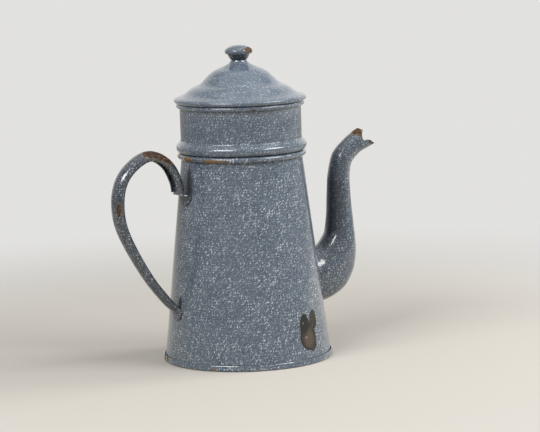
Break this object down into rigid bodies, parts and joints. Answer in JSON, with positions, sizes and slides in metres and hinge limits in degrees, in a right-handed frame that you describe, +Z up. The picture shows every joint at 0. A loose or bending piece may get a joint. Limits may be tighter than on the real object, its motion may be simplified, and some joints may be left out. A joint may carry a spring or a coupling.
{
  "type": "enamel drip coffee pot",
  "caption": "Two-storey enamelled drip coffee pot: conical pot with gooseneck spout and strap handle, lift-off filter chamber and domed lid.",
  "frame": {"origin": "on the pot's axis, on the plane that it stands on", "axes": "+X towards the spout, +Z up along the pot's axis, handle on the -X side"},
  "size_m": [0.236, 0.135, 0.2493],
  "materials": {
    "speckled_enamel": "gloss",
    "base_enamel": "gloss",
    "inner_enamel": "gloss"
  },
  "bodies": {
    "pot": {"pot_body": "speckled_enamel", "pot_bottom": "base_enamel", "spout_left_half": "speckled_enamel", "spout_right_half": "speckled_enamel", "handle_strap": "speckled_enamel", "handle_upper_bracket": "speckled_enamel", "handle_lower_bracket": "speckled_enamel"},
    "filter_section": {"filter_body": "speckled_enamel", "filter_bottom": "inner_enamel"},
    "tamper": {"tamper_disc": "inner_enamel", "tamper_loop": "inner_enamel"},
    "spreader": {"spreader_disc": "inner_enamel", "spreader_knob": "inner_enamel"},
    "lid": {"lid_dome": "speckled_enamel", "lid_skirt": "inner_enamel", "knob_stem": "speckled_enamel", "knob_cap": "speckled_enamel"}
  },
  "joints": [
    {"name": "filter_lift", "type": "slide", "parent": "pot", "child": "filter_section", "axis": [0, 0, 1], "range_m": [0, 0.045]},
    {"name": "tamper_lift", "type": "slide", "parent": "filter_section", "child": "tamper", "axis": [0, 0, 1], "range_m": [0, 0.08]},
    {"name": "spreader_lift", "type": "slide", "parent": "tamper", "child": "spreader", "axis": [0, 0, 1], "range_m": [0, 0.05]},
    {"name": "lid_lift", "type": "slide", "parent": "spreader", "child": "lid", "axis": [0, 0, 1], "range_m": [0, 0.03]}
  ]
}
